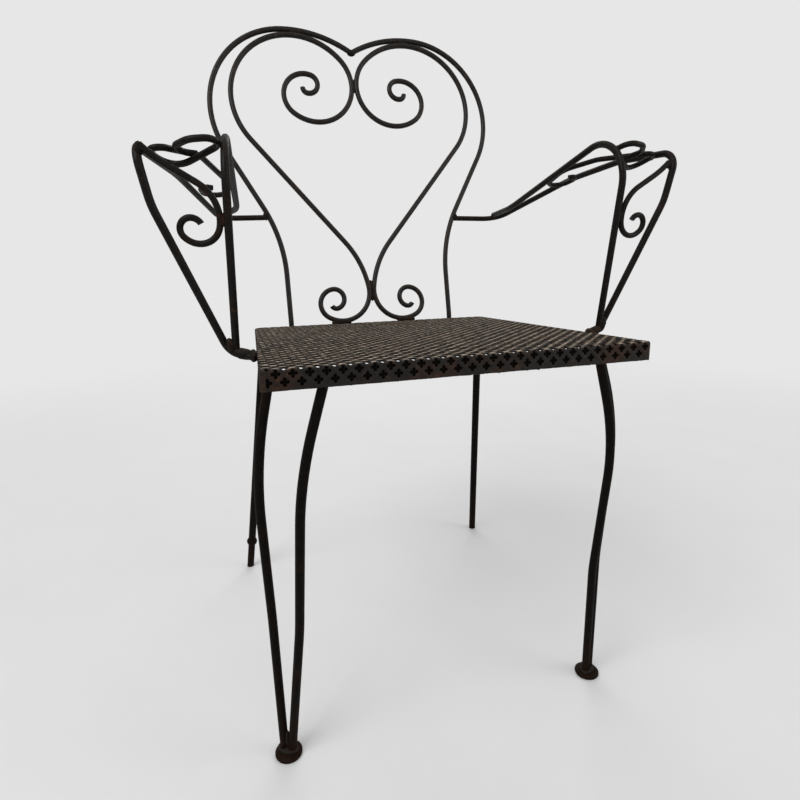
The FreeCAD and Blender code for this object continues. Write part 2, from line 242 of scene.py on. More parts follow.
class SeatSheet(bpy.types.PropertyGroup):
    front_half_width: bpy.props.FloatProperty(
        name="Front half width",
        description="Half the seat's width at its front edge",
        default=0.196,
        unit="LENGTH",
    )
    rear_half_width: bpy.props.FloatProperty(
        name="Rear half width",
        description="Half the seat's width at its rear edge",
        default=0.181,
        unit="LENGTH",
    )
    length: bpy.props.FloatProperty(
        name="Length",
        description="Front edge to rear edge, along the sheet",
        default=0.37443,
        unit="LENGTH",
    )
    front_edge: bpy.props.FloatVectorProperty(
        name="Front edge",
        description="Middle of the front edge, at the height of the top",
        default=(0.0, -0.2391, 0.450),
        size=3,
        subtype="XYZ_LENGTH",
    )
    tilt: bpy.props.FloatProperty(
        name="Tilt",
        description="Fall of the seat towards the back",
        default=math.atan2(0.010, 0.3743),
        subtype="ANGLE",
    )
    thickness: bpy.props.FloatProperty(
        name="Sheet thickness",
        description="Thickness of the steel sheet with its punched burr",
        default=0.0016,
        unit="LENGTH",
    )
    bar_gap: bpy.props.FloatProperty(
        name="Bar gap",
        description="Gap between the sheet's underside and the flat bar's upper edge",
        default=0.0006,
        unit="LENGTH",
    )
    bar_thickness: bpy.props.FloatProperty(
        name="Bar thickness",
        description="Thickness of the flat bar behind the folded edge",
        default=0.0036,
        unit="LENGTH",
    )
    apron_height: bpy.props.FloatProperty(
        name="Apron height",
        description="Height of the folded edge, from the top",
        default=0.019,
        unit="LENGTH",
    )
    fold_radius: bpy.props.FloatProperty(
        name="Fold radius",
        description="Outer radius of the folds",
        default=0.0022,
        unit="LENGTH",
    )
    front_corner: bpy.props.FloatProperty(
        name="Front corner radius",
        description="Radius of the two front corners, seen from above",
        default=0.005,
        unit="LENGTH",
    )
    rear_corner: bpy.props.FloatProperty(
        name="Rear corner radius",
        description="Radius of the two rear corners, seen from above",
        default=0.014,
        unit="LENGTH",
    )
    hole_pitch: bpy.props.FloatProperty(
        name="Hole pitch",
        description="Distance between the clover holes of one row",
        default=0.0142,
        unit="LENGTH",
    )
    first_row: bpy.props.FloatProperty(
        name="First row",
        description="Distance of the first row of holes from the front face",
        default=0.0035,
        unit="LENGTH",
    )
    first_column: bpy.props.FloatProperty(
        name="First column",
        description="How far right of the middle of the seat a hole of the first row lies",
        default=-0.0048,
        unit="LENGTH",
    )
    lobe_reach: bpy.props.FloatProperty(
        name="Lobe reach",
        description="From the middle of a clover hole to the tip of a lobe",
        default=0.0043,
        unit="LENGTH",
    )
    lobe_middle: bpy.props.FloatProperty(
        name="Lobe middle",
        description="From the middle of a clover hole to where a lobe is widest",
        default=0.0031,
        unit="LENGTH",
    )
    lobe_width: bpy.props.FloatProperty(
        name="Lobe width",
        description="Width of each of the four lobes",
        default=0.0035,
        unit="LENGTH",
    )
    notch_reach: bpy.props.FloatProperty(
        name="Notch reach",
        description="From the middle of a clover hole to the points between its lobes",
        default=0.0020,
        unit="LENGTH",
    )
    plain_strip: bpy.props.FloatProperty(
        name="Plain strip",
        description="Holes whose middle is further past the fold than this are left out",
        default=0.014,
        unit="LENGTH",
    )
    hem_wander: bpy.props.FloatProperty(
        name="Hem wander",
        description="How far the sheared lower edge wanders",
        default=0.0003,
        unit="LENGTH",
    )


class WeldBeads(bpy.types.PropertyGroup):
    lumps: bpy.props.FloatProperty(
        name="Lumps",
        description="How uneven a bead is, as a share of its size",
        default=0.085,
        min=0.0,
        max=0.3,
    )
    ripple: bpy.props.FloatProperty(
        name="Ripple",
        description="How far each ripple stands out, as a share of the bead's width",
        default=0.17,
        min=0.0,
        max=0.5,
    )


class ChairStage(bpy.types.PropertyGroup):
    floor_colour: bpy.props.FloatVectorProperty(
        name="Floor colour",
        description="Pale floor the chair stands on",
        default=(0.72, 0.71, 0.70),
        size=3,
        min=0.0,
        max=1.0,
        subtype="COLOR",
    )
    background_colour: bpy.props.FloatVectorProperty(
        name="Background colour",
        description="Pale ground behind the chair",
        default=(0.80, 0.80, 0.80),
        size=3,
        min=0.0,
        max=1.0,
        subtype="COLOR",
    )
    floor_near: bpy.props.FloatProperty(
        name="Floor near",
        description="Distance from the chair's middle up to which the floor is plain floor",
        default=0.7,
        unit="LENGTH",
    )
    floor_far: bpy.props.FloatProperty(
        name="Floor far",
        description="Distance past which the floor has the background's colour",
        default=2.6,
        unit="LENGTH",
    )
    sky_strength: bpy.props.FloatProperty(
        name="Sky strength",
        description="Strength of the even light from all round",
        default=0.55,
        min=0.0,
        max=5.0,
    )
    key_power: bpy.props.FloatProperty(
        name="Key light",
        description="Strength of the large soft light",
        default=32.0,
        min=0.0,
        max=500.0,
        unit="POWER",
    )
    camera_place: bpy.props.FloatVectorProperty(
        name="Camera place",
        description="Where the camera stands",
        default=(-0.2139, -0.6906, 0.5386),
        size=3,
        subtype="XYZ_LENGTH",
    )
    camera_yaw: bpy.props.FloatProperty(
        name="Camera turn",
        description="Turn of the camera from straight ahead towards the chair's right",
        default=math.radians(17.086),
        subtype="ANGLE",
    )
    camera_pitch: bpy.props.FloatProperty(
        name="Camera tilt",
        description="Tilt of the camera down to the seat",
        default=math.radians(14.828),
        subtype="ANGLE",
    )
    camera_roll: bpy.props.FloatProperty(
        name="Camera roll",
        description="Roll of the camera about its own line of sight",
        default=math.radians(-0.952),
        subtype="ANGLE",
    )
    lens: bpy.props.FloatProperty(
        name="Lens",
        description="Focal length on a 36 mm wide picture",
        default=24.525,
        min=8.0,
        max=200.0,
        unit="CAMERA",
    )


def material_nodes(name):
    """New node material: its tree, its shader and its output are ready."""
    material = bpy.data.materials.new(name)
    material.use_nodes = True
    tree = material.node_tree
    return material, tree, tree.nodes["Principled BSDF"]


class Tree:
    """Short hand for wiring a material or a world."""

    def __init__(self, tree):
        self.tree = tree

    def put(self, kind, inputs=None, **settings):
        """New node with its inputs wired or set."""
        node = self.tree.nodes.new(kind)
        for key, value in settings.items():
            setattr(node, key, value)
        for key, value in (inputs or {}).items():
            if isinstance(value, bpy.types.NodeSocket):
                self.tree.links.new(value, node.inputs[key])
            else:
                node.inputs[key].default_value = value
        return node

    def noise(self, place, size, detail=4.0, roughness=0.55, distortion=0.0):
        """Noise whose lumps are about that size in metres."""
        return self.put(
            "ShaderNodeTexNoise",
            {
                "Vector": place,
                "Scale": 1.0 / size,
                "Detail": detail,
                "Roughness": roughness,
                "Distortion": distortion,
            },
        ).outputs["Fac"]

    def steep(self, value, low, high, bottom=0.0, top=1.0):
        """Value below low gives bottom and above high gives top."""
        return self.put(
            "ShaderNodeMapRange",
            {"Value": value, "From Min": low, "From Max": high, "To Min": bottom, "To Max": top},
        ).outputs["Result"]

    def maths(self, operation, first, second):
        """One calculation with two values."""
        return self.put("ShaderNodeMath", {0: first, 1: second}, operation=operation).outputs[0]

    def times(self, first, second):
        return self.maths("MULTIPLY", first, second)

    def weighed(self, first, first_share, second, second_share):
        """Sum of two values, each times its share."""
        return self.maths("ADD", self.times(first, first_share), self.times(second, second_share))

    def upward(self, low, high):
        """1 where the surface faces up, 0 where it doesn't."""
        facing = self.put("ShaderNodeNewGeometry").outputs["Normal"]
        rise = self.put("ShaderNodeSeparateXYZ", {"Vector": facing}).outputs["Z"]
        return self.steep(rise, low, high)

    def blend(self, share, first, second):
        """Colour from the first to the second by share; both may be a colour or a socket."""
        node = self.put("ShaderNodeMix", data_type="RGBA")
        # Sockets 6 and 7, and 2 of the outputs, are the node's colours
        for index, value in ((0, share), (6, first), (7, second)):
            if isinstance(value, bpy.types.NodeSocket):
                self.tree.links.new(value, node.inputs[index])
            elif index:
                node.inputs[index].default_value = (*value, 1.0)
            else:
                node.inputs[index].default_value = value
        return node.outputs[2]


def toned(colour, factor):
    """The colour times a factor: below 1 deeper, above 1 lighter."""
    return tuple(channel * factor for channel in colour)


def iron(
    name,
    finish,
    rust_share,
    worn_share,
    shine,
    dust_and_sheen_share=0.0,
    floor_rust=0.0,
    roughness=0.3,
    tone_and_shade=1.0,
):
    """Painted steel: dark coat, rubbed patches, rust, dust with a painted sheen on top and fine
    pits, in real size.
    """
    material, tree, shader = material_nodes(name)
    t = Tree(tree)
    place = t.put("ShaderNodeTexCoord").outputs["Object"]
    broad = t.noise(place, 0.045, 5.0, 0.6)
    patch = t.noise(place, 0.011, 6.0, 0.65, 0.4)
    pits = t.noise(place, finish.pit_size, 3.0, 0.7)
    grain = t.noise(place, finish.pit_size * 4.0, 4.0, 0.6)

    rust_edge = 0.62 - 0.25 * rust_share
    rust = t.steep(t.weighed(broad, 0.55, patch, 0.45), rust_edge, rust_edge + 0.12)
    if floor_rust:
        height = t.put("ShaderNodeSeparateXYZ", {"Vector": place}).outputs["Z"]
        low = t.steep(height, 0.0, floor_rust, 1.0, 0.0)
        rust = t.maths("MAXIMUM", rust, t.times(low, t.steep(patch, 0.3, 0.6, 0.4, 1.0)))
    worn_edge = 0.66 - 0.3 * worn_share
    worn = t.steep(t.weighed(patch, 0.6, grain, 0.4), worn_edge, worn_edge + 0.14)
    # Dust on what faces up, which is also a painted sheen where the light falls from above
    dust_and_sheen = t.times(t.upward(0.2, 0.95), t.steep(grain, 0.3, 0.65, 0.35, 1.0))

    # The tone factor deepens the coat and the rust; on the legs and the seat bar it is partly
    # painted shade
    coat = toned(finish.coat_colour, tone_and_shade)
    rusty = toned(finish.rust_colour, tone_and_shade)
    rust_tone = t.blend(t.steep(grain, 0.35, 0.68), toned(rusty, 0.4), rusty)
    colour = t.blend(t.steep(grain, 0.35, 0.7), coat, toned(coat, 1.7))
    colour = t.blend(t.times(worn, 0.6), colour, toned(finish.worn_colour, tone_and_shade))
    colour = t.blend(t.times(rust, 0.8), colour, rust_tone)
    colour = t.blend(t.times(dust_and_sheen, dust_and_sheen_share), colour, tuple(finish.dust_and_sheen_colour))
    tree.links.new(colour, shader.inputs["Base Color"])

    gloss = t.steep(grain, 0.3, 0.7, roughness - 0.06, roughness + 0.1)
    gloss = t.maths("ADD", gloss, t.times(t.maths("MAXIMUM", rust, dust_and_sheen), 0.2))
    tree.links.new(gloss, shader.inputs["Roughness"])
    edge_on = t.put("ShaderNodeLayerWeight", {"Blend": 0.5}).outputs["Facing"]
    gleam = t.steep(edge_on, 0.4, 0.85, shine, 0.04 * shine)
    tree.links.new(gleam, shader.inputs["Specular IOR Level"])

    relief = t.maths("ADD", t.weighed(pits, 0.12, grain, 0.6), t.times(rust, 0.35))
    bump = t.put("ShaderNodeBump", {"Height": relief, "Strength": 0.3, "Distance": 0.0005})
    tree.links.new(bump.outputs["Normal"], shader.inputs["Normal"])
    return material


def sheet_steel(finish):
    """The coat of the seat sheet, with chalky dust and a painted highlight on the rounded webs of
    its top.
    """
    material = iron("sheet_steel", finish, **COATS["sheet_steel"])
    tree = material.node_tree
    shader = tree.nodes["Principled BSDF"]
    t = Tree(tree)
    place = t.put("ShaderNodeTexCoord").outputs["Object"]
    web = t.put("ShaderNodeAttribute", attribute_name="web").outputs["Fac"]
    fleck = t.noise(place, 0.0032, 3.0, 0.6)
    cloud = t.noise(place, 0.008, 5.0, 0.7)
    # The middles of the webs on top get dust and a painted highlight, standing in for the light on
    # them
    rim = t.steep(t.maths("ADD", web, t.times(fleck, 0.6)), 0.92, 1.16)
    dust_and_sheen = t.times(t.times(t.upward(0.3, 0.95), rim), t.steep(cloud, 0.36, 0.62, 0.12, 1.0))
    base = shader.inputs["Base Color"]
    coat = base.links[0].from_socket
    tree.links.new(t.blend(dust_and_sheen, coat, tuple(finish.dust_and_sheen_colour)), base)
    bump = next(node for node in tree.nodes if node.bl_idname == "ShaderNodeBump")
    relief = bump.inputs["Height"].links[0].from_socket
    rounded = t.steep(web, 0.45, 0.95, 0.0, 2.4)
    tree.links.new(t.maths("ADD", relief, rounded), bump.inputs["Height"])
    return material


def rounding_group():
    """Joins a rod's loose triangles and shades it round, leaving its cut ends sharp."""
    group = bpy.data.node_groups.new("round_shading", "GeometryNodeTree")
    group.interface.new_socket("Geometry", in_out="INPUT", socket_type="NodeSocketGeometry")
    group.interface.new_socket("Geometry", in_out="OUTPUT", socket_type="NodeSocketGeometry")
    nodes, links = group.nodes, group.links
    first = nodes.new("NodeGroupInput")
    last = nodes.new("NodeGroupOutput")
    merge = nodes.new("GeometryNodeMergeByDistance")
    merge.inputs["Distance"].default_value = ROD_MERGE
    smooth = nodes.new("GeometryNodeSetShadeSmooth")
    smooth.domain = "FACE"
    sharp = nodes.new("GeometryNodeSetShadeSmooth")
    sharp.domain = "EDGE"
    angle = nodes.new("GeometryNodeInputMeshEdgeAngle")
    steep = nodes.new("FunctionNodeCompare")
    steep.data_type = "FLOAT"
    steep.operation = "GREATER_THAN"
    steep.inputs[1].default_value = ROD_ANGLE
    sharp.inputs["Shade Smooth"].default_value = False
    links.new(first.outputs[0], merge.inputs["Geometry"])
    links.new(merge.outputs["Geometry"], smooth.inputs["Geometry"])
    links.new(smooth.outputs["Geometry"], sharp.inputs["Geometry"])
    links.new(angle.outputs["Unsigned Angle"], steep.inputs[0])
    links.new(steep.outputs["Result"], sharp.inputs["Selection"])
    links.new(sharp.outputs["Geometry"], last.inputs[0])
    return group


def finish_node(name, material, group):
    """Gives a CAD part its material and round shading."""
    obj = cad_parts[name]
    obj.data.materials.clear()
    obj.data.materials.append(material)
    modifier = obj.modifiers.new("round_shading", "NODES")
    modifier.node_group = group


def in_edit(obj):
    """Opens a piece, and nothing else, in edit mode."""
    bpy.ops.object.select_all(action="DESELECT")
    obj.select_set(True)
    bpy.context.view_layer.objects.active = obj
    bpy.ops.object.mode_set(mode="EDIT")


def read(obj, items, field, width=3):
    """One field of all vertices or faces of the object being edited, as rows."""
    bpy.ops.object.mode_set(mode="OBJECT")
    collection = getattr(obj.data, items)
    flat = np.empty(len(collection) * width)
    collection.foreach_get(field, flat)
    bpy.ops.object.mode_set(mode="EDIT")
    return flat.reshape(-1, width)


def corners_of(obj):
    """Places of the vertices."""
    return read(obj, "vertices", "co")


def middles_of(obj):
    """Middles of the faces."""
    return read(obj, "polygons", "center")


def select_where(obj, mask, kind="VERT"):
    """Selects the vertices or faces whose mask is set, and nothing else."""
    bpy.ops.mesh.select_mode(type=kind)
    bpy.ops.mesh.select_all(action="DESELECT")
    bpy.ops.object.mode_set(mode="OBJECT")
    items = obj.data.vertices if kind == "VERT" else obj.data.polygons
    items.foreach_set("select", np.ascontiguousarray(mask, dtype=bool))
    bpy.ops.object.mode_set(mode="EDIT")


def select_all(kind="VERT"):
    """Selects the whole piece."""
    bpy.ops.mesh.select_mode(type=kind)
    bpy.ops.mesh.select_all(action="SELECT")


def turn(angle, axis, centre):
    """Turns the selection counter-clockwise about an axis through the centre."""
    bpy.ops.transform.rotate(value=-angle, orient_axis=axis, center_override=centre)


def apply_modifier(obj, kind, **settings):
    """Adds a modifier with these settings and applies it."""
    modifier = obj.modifiers.new(kind.lower(), kind)
    for name, value in settings.items():
        setattr(modifier, name, value)
    bpy.ops.object.modifier_apply(modifier=modifier.name)


class SeatSide:
    """One side of the seat drawn flat: a point of its fold line and the way out."""

    def __init__(self, point, out):
        self.point = np.array(point)
        self.out = np.array(out)

    def past(self, places):
        """How far each place lies beyond the fold line."""
        return (places[:, :2] - self.point) @ self.out


def seat_taper(sheet):
    """How far each side leans in towards the rear, as an angle."""
    return math.atan2(sheet.front_half_width - sheet.rear_half_width, sheet.length)


def seat_sides(sheet):
    """Front, right, rear and left side; the front edge lies on y = 0."""
    radius = sheet.fold_radius
    across, along = math.cos(seat_taper(sheet)), math.sin(seat_taper(sheet))
    x = sheet.front_half_width - radius / across
    return [
        SeatSide((0.0, radius), (0.0, -1.0)),
        SeatSide((x, 0.0), (across, along)),
        SeatSide((0.0, sheet.length - radius), (0.0, 1.0)),
        SeatSide((-x, 0.0), (-across, along)),
    ]


def fold_chord(sheet):
    """Width of each of the narrow flats that make up a fold."""
    return 2.0 * sheet.fold_radius * math.sin(math.pi / 4.0 / FOLD_STEPS)


def seat_corners(sheet):
    """Centre, the two ways out and the radius of each rounded corner."""
    sides = seat_sides(sheet)
    found = []
    for index, side in enumerate(sides):
        other = sides[(index + 1) % 4]
        at_front = index in (0, 3)
        radius = sheet.front_corner if at_front else sheet.rear_corner
        inset = radius - sheet.fold_radius
        reach = [side.point @ side.out - inset, other.point @ other.out - inset]
        centre = np.linalg.solve(np.array([side.out, other.out]), np.array(reach))
        found.append((centre, side.out, other.out, radius))
    return found


def clover_tile(sheet):
    """One square tile, standing on its corner, with a four-lobed hole."""
    side = sheet.hole_pitch / math.sqrt(2.0)
    bpy.ops.object.select_all(action="DESELECT")
    bpy.ops.mesh.primitive_plane_add(size=side, rotation=(0.0, 0.0, math.radians(45.0)))
    tile = bpy.context.object
    bpy.ops.object.transform_apply(location=False, rotation=True, scale=False)
    in_edit(tile)
    select_all()
    bpy.ops.mesh.delete(type="ONLY_FACE")
    select_all()
    bpy.ops.mesh.subdivide(number_cuts=LOBE_CUTS)
    select_all()
    bpy.ops.mesh.extrude_region_move()
    bpy.ops.transform.resize(value=(0.5, 0.5, 0.5))
    bpy.ops.transform.tosphere(value=1.0)
    places = corners_of(tile)
    reach = np.hypot(places[:, 0], places[:, 1])
    ring = reach.min()
    x, y = np.abs(places[:, 0]), np.abs(places[:, 1])
    hole = reach < HOLE_SLACK * ring
    beside = 0.1 * ring
    tips = hole & (np.minimum(x, y) < beside)
    notches = hole & (np.abs(x - y) < beside)
    flanks = hole & ~tips & ~notches
    far, near = np.maximum(x, y)[flanks].min(), np.minimum(x, y)[flanks].min()
    out, aside = sheet.lobe_middle / far, sheet.lobe_width / 2.0 / near
    for mask, size in (
        (tips, (sheet.lobe_reach / ring, sheet.lobe_reach / ring)),
        (notches, (sheet.notch_reach / ring, sheet.notch_reach / ring)),
        (flanks & (x > y), (out, aside)),
        (flanks & (y > x), (aside, out)),
    ):
        select_where(tile, mask)
        bpy.ops.transform.resize(value=(*size, 1.0))
    return tile


def perforated_blank(sheet):
    """Flat sheet of staggered clover holes, larger than the seat and its aprons."""
    tile = clover_tile(sheet)
    pitch = sheet.hole_pitch
    select_all()
    bpy.ops.mesh.duplicate()
    bpy.ops.transform.translate(value=(pitch / 2.0, pitch / 2.0, 0.0))
    select_all()
    columns = int((sheet.front_half_width + sheet.apron_height) / pitch) + 2
    ahead = int(sheet.apron_height / pitch) + 2
    behind = int((sheet.length + sheet.apron_height) / pitch) + 2
    start = (sheet.first_column - columns * pitch, sheet.first_row - ahead * pitch, 0.0)
    bpy.ops.transform.translate(value=start)
    bpy.ops.object.mode_set(mode="OBJECT")
    for step, count in (((pitch, 0.0, 0.0), 2 * columns + 1), ((0.0, pitch, 0.0), ahead + behind)):
        apply_modifier(
            tile,
            "ARRAY",
            use_relative_offset=False,
            use_constant_offset=True,
            constant_offset_displace=step,
            count=count,
        )
    in_edit(tile)
    select_all()
    bpy.ops.mesh.remove_doubles(threshold=10 * MERGE)
    return tile


def hole_centres(sheet, places):
    """Middle of the hole nearest to each place of the flat sheet."""
    half = sheet.hole_pitch / 2.0
    first = np.array([sheet.first_column, sheet.first_row])
    grid = (places[:, :2] - first) / half
    near = np.round(grid)
    rest = grid - near
    odd = (near.sum(axis=1) % 2) != 0
    wide = np.abs(rest[:, 0]) >= np.abs(rest[:, 1])
    near[odd & wide, 0] += np.sign(rest[odd & wide, 0])
    near[odd & ~wide, 1] += np.sign(rest[odd & ~wide, 1])
    return near * half + first


def close_low_holes(blank, sheet):
    """Leaves the lower strip of each apron plain."""
    places = corners_of(blank)
    centres = hole_centres(sheet, places)
    reach = np.hypot(*(places[:, :2] - centres).T)
    past = np.max([side.past(centres) for side in seat_sides(sheet)], axis=0)
    select_where(blank, (reach < HOLE_SLACK * sheet.lobe_reach) & (past > sheet.plain_strip))
    bpy.ops.mesh.select_mode(type="EDGE")
    bpy.ops.mesh.fill_holes(sides=4 * (LOBE_CUTS + 1))


def cut(obj, point, normal, near=CUT_REACH, clear=False, within=None):
    """Cuts the faces near a line of the flat sheet; clear takes away what is past it."""
    middles = middles_of(obj)
    away = (middles[:, :2] - point) @ normal
    mask = away > -near if clear else np.abs(away) < near
    if within is not None:
        mask &= within(middles)
    select_where(obj, mask, "FACE")
    line = {"plane_co": (*point, 0.0), "plane_no": (*normal, 0.0)}
    bpy.ops.mesh.bisect(**line, clear_outer=clear, threshold=MERGE)


def notch_corner(blank, sheet, centre, first, second, radius):
    """Cuts out the square that would crease when both aprons are folded."""
    ways = []
    for out, other in ((first, second), (second, first)):
        way = other - out * (out @ other)
        ways.append(way / np.linalg.norm(way))
    reach = 1.5 * (radius + sheet.apron_height)

    def near(middles):
        offset = middles[:, :2] - centre
        inside = np.hypot(*offset.T) < reach
        return inside & np.all([offset @ way > -CUT_REACH for way in ways], axis=0)

    for way in ways:
        cut(blank, centre, way, within=near)
    offset = middles_of(blank)[:, :2] - centre
    select_where(blank, np.all([offset @ way > 0.0 for way in ways], axis=0), "FACE")
    bpy.ops.mesh.delete(type="FACE")


def fold_apron(blank, sheet, side):
    """Folds one side down in small steps, its line first squared to the axes."""
    lean = math.copysign(seat_taper(sheet), side.out[0]) if abs(side.out[0]) > 0.5 else 0.0
    past = side.past(corners_of(blank))
    square = np.array([[math.cos(lean), math.sin(lean)], [-math.sin(lean), math.cos(lean)]])
    point, out = square @ side.point, square @ side.out
    if abs(out[0]) < 0.5:
        axis, way = "X", -out[1]
    else:
        axis, way = "Y", out[0]
    if lean:
        select_all()
        turn(-lean, "Z", (0.0, 0.0, 0.0))
    bend = math.pi / 2.0 / FOLD_STEPS
    chord = fold_chord(sheet)
    for step in range(FOLD_STEPS, -1, -1):
        line = point + out * chord * step
        select_where(blank, past > chord * step + MERGE)
        share = 1.0 if 0 < step < FOLD_STEPS else 0.5
        turn(math.copysign(bend * share, way), axis, (line[0], line[1], 0.0))
    if lean:
        select_all()
        turn(lean, "Z", (0.0, 0.0, 0.0))


def corner_piece(sheet, centre, first, second, radius):
    """Rounded corner: the section of the apron spun from one side to the next."""
    bpy.ops.object.select_all(action="DESELECT")
    bpy.ops.mesh.primitive_plane_add(size=radius)
    piece = bpy.context.object
    in_edit(piece)
    select_where(piece, np.arange(4) > 0)
    bpy.ops.mesh.delete(type="VERT")
    select_all()
    bpy.ops.transform.translate(value=tuple(-corners_of(piece)[0]))
    section = [(radius - sheet.fold_radius, 0.0)]
    chord = fold_chord(sheet)
    for step in range(FOLD_STEPS):
        angle = math.pi / 2.0 / FOLD_STEPS * (step + 0.5)
        out, down = section[-1]
        section.append((out + chord * math.cos(angle), down - chord * math.sin(angle)))
    section.append((section[-1][0], -sheet.apron_height))
    here = (0.0, 0.0)
    select_all()
    for out, down in section:
        step = (*(first * (out - here[0])), down - here[1])
        bpy.ops.mesh.extrude_region_move(TRANSFORM_OT_translate={"value": step})
        here = (out, down)
    select_all()
    corner_angle = -math.acos(first @ second)
    bpy.ops.mesh.spin(steps=CORNER_STEPS, angle=corner_angle, center=(0.0, 0.0, 0.0), axis=UPRIGHT)
    select_all()
    bpy.ops.mesh.remove_doubles(threshold=MERGE)
    select_all()
    bpy.ops.transform.translate(value=(*centre, 0.0))
    bpy.ops.object.mode_set(mode="OBJECT")
    return piece


def join(pieces, name):
    """Makes one named piece of several."""
    bpy.ops.object.select_all(action="DESELECT")
    for piece in pieces:
        piece.select_set(True)
    bpy.context.view_layer.objects.active = pieces[0]
    if len(pieces) > 1:
        bpy.ops.object.join()
    pieces[0].name = name
    pieces[0].data.name = name
    return pieces[0]


def carry(piece, material):
    """Finishes a new piece and lets it ride with the chair."""
    piece.data.materials.clear()
    piece.data.materials.append(material)
    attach(piece, "root")


def mark_webs(blank, sheet):
    """Stores on the flat sheet how far each point is from the middle of its hole, for its dust and
    painted highlight.
    """
    places = corners_of(blank)
    reach = np.hypot(*(places[:, :2] - hole_centres(sheet, places)).T)
    bpy.ops.object.mode_set(mode="OBJECT")
    web = blank.data.attributes.new("web", "FLOAT", "POINT")
    web.data.foreach_set("value", (2.0 * reach / sheet.hole_pitch).astype(np.float32))
    bpy.ops.object.mode_set(mode="EDIT")


def seat_blank(sheet):
    """The seat sheet cut to its flat outline, with its fold lines, ready to be folded."""
    blank = perforated_blank(sheet)
    close_low_holes(blank, sheet)
    chord = fold_chord(sheet)
    hem = FOLD_STEPS * chord + sheet.apron_height - sheet.fold_radius
    sides = seat_sides(sheet)
    for side in sides:
        cut(blank, side.point + side.out * hem, side.out, clear=True)
    for corner in seat_corners(sheet):
        notch_corner(blank, sheet, *corner)
    for side in sides:
        for step in range(FOLD_STEPS + 1):
            cut(blank, side.point + side.out * chord * step, side.out, FOLD_CUT_REACH)
    mark_webs(blank, sheet)
    return blank


def thicken(seat, sheet):
    """Lets the lower edge of the aprons wander and gives the sheet its thickness."""
    in_edit(seat)
    select_where(seat, corners_of(seat)[:, 2] < HEM_REACH - sheet.apron_height)
    bpy.ops.transform.vertex_random(offset=sheet.hem_wander, seed=HEM_SEED)
    select_all()
    bpy.ops.mesh.normals_make_consistent(inside=False)
    bpy.ops.object.mode_set(mode="OBJECT")
    inwards = {"offset": -1.0, "use_quality_normals": True}
    apply_modifier(seat, "SOLIDIFY", thickness=sheet.thickness, **inwards)


def seat_hoop(sheet):
    """Hoop of flat bar: the seat's outline inside the sheet, rounded, inset and drawn down."""
    slope = math.tan(seat_taper(sheet))
    inset = sheet.thickness / math.cos(seat_taper(sheet))
    bpy.ops.object.select_all(action="DESELECT")
    bpy.ops.mesh.primitive_plane_add(size=2.0)
    hoop = bpy.context.object
    in_edit(hoop)
    rear = corners_of(hoop)[:, 1] > 0.0
    ends = (~rear, -1.0, sheet.thickness), (rear, 1.0, sheet.length - sheet.thickness)
    for mask, start, y in ends:
        select_where(hoop, mask)
        bpy.ops.transform.resize(value=(sheet.front_half_width - slope * y - inset, 1.0, 1.0))
        bpy.ops.transform.translate(value=(0.0, y - start, 0.0))
    for end, radius in ((1.0, sheet.rear_corner), (-1.0, sheet.front_corner)):
        select_where(hoop, end * (corners_of(hoop)[:, 1] - sheet.length / 2.0) > 0.0)
        bpy.ops.mesh.bevel(
            offset=radius - sheet.thickness, segments=CORNER_STEPS, affect="VERTICES"
        )
    select_all("FACE")
    bpy.ops.mesh.inset(thickness=sheet.bar_thickness)
    bpy.ops.mesh.delete(type="FACE")
    select_all("FACE")
    top = sheet.thickness + sheet.bar_gap
    bpy.ops.transform.translate(value=(0.0, 0.0, -top))
    down = (0.0, 0.0, top - sheet.apron_height)
    bpy.ops.mesh.extrude_region_move(TRANSFORM_OT_translate={"value": down})
    select_all()
    bpy.ops.mesh.normals_make_consistent(inside=False)
    bpy.ops.object.mode_set(mode="OBJECT")
    edges = {"limit_method": "ANGLE", "angle_limit": BAR_ANGLE}
    apply_modifier(hoop, "BEVEL", width=BAR_ROUNDING, segments=2, **edges)
    return hoop


def tilt_and_place(seat_piece, sheet):
    """Brings a piece drawn level from the front edge to the seat's tilt and place."""
    in_edit(seat_piece)
    select_all()
    turn(-sheet.tilt, "X", (0.0, 0.0, 0.0))
    bpy.ops.transform.translate(value=sheet.front_edge)
    bpy.ops.object.mode_set(mode="OBJECT")


class CHAIR_OT_seat_bar(bpy.types.Operator):
    """Flat bar bent into a hoop behind the aprons, on which the sheet rests"""

    bl_idname = "chair.seat_bar"
    bl_label = "Bend the seat bar"

    def execute(self, context):
        sheet = context.scene.seat_sheet
        finish = context.scene.chair_finish
        hoop = join([seat_hoop(sheet)], "seat_bar")
        tilt_and_place(hoop, sheet)
        bpy.ops.object.shade_smooth_by_angle(angle=PIECE_ANGLE)
        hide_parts("seat_bar_frame")
        carry(hoop, iron("bar_steel", finish, **COATS["seat_bar"]))
        return {"FINISHED"}


class CHAIR_OT_seat_sheet(bpy.types.Operator):
    """Perforated sheet seat, folded down into an apron on each side"""

    bl_idname = "chair.seat_sheet"
    bl_label = "Fold the seat sheet"

    def execute(self, context):
        sheet = context.scene.seat_sheet
        blank = seat_blank(sheet)
        for side in seat_sides(sheet):
            fold_apron(blank, sheet, side)
        bpy.ops.object.mode_set(mode="OBJECT")
        corners = [corner_piece(sheet, *corner) for corner in seat_corners(sheet)]
        seat = join([blank, *corners], "seat_sheet")
        thicken(seat, sheet)
        tilt_and_place(seat, sheet)
        bpy.ops.object.shade_smooth_by_angle(angle=PIECE_ANGLE)
        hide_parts("seat_pan")
        carry(seat, sheet_steel(context.scene.chair_finish))
        return {"FINISHED"}


class CHAIR_OT_finish_rods(bpy.types.Operator):
    """Old dark coat, wear and rust on the rods, legs, feet and seat bar"""

    bl_idname = "chair.finish_rods"
    bl_label = "Finish the rods"

    def execute(self, context):
        finish = context.scene.chair_finish
        group = rounding_group()
        for kind, names in NODES.items():
            material = iron(kind, finish, **COATS[kind])
            for name in names:
                finish_node(name, material, group)
        return {"FINISHED"}


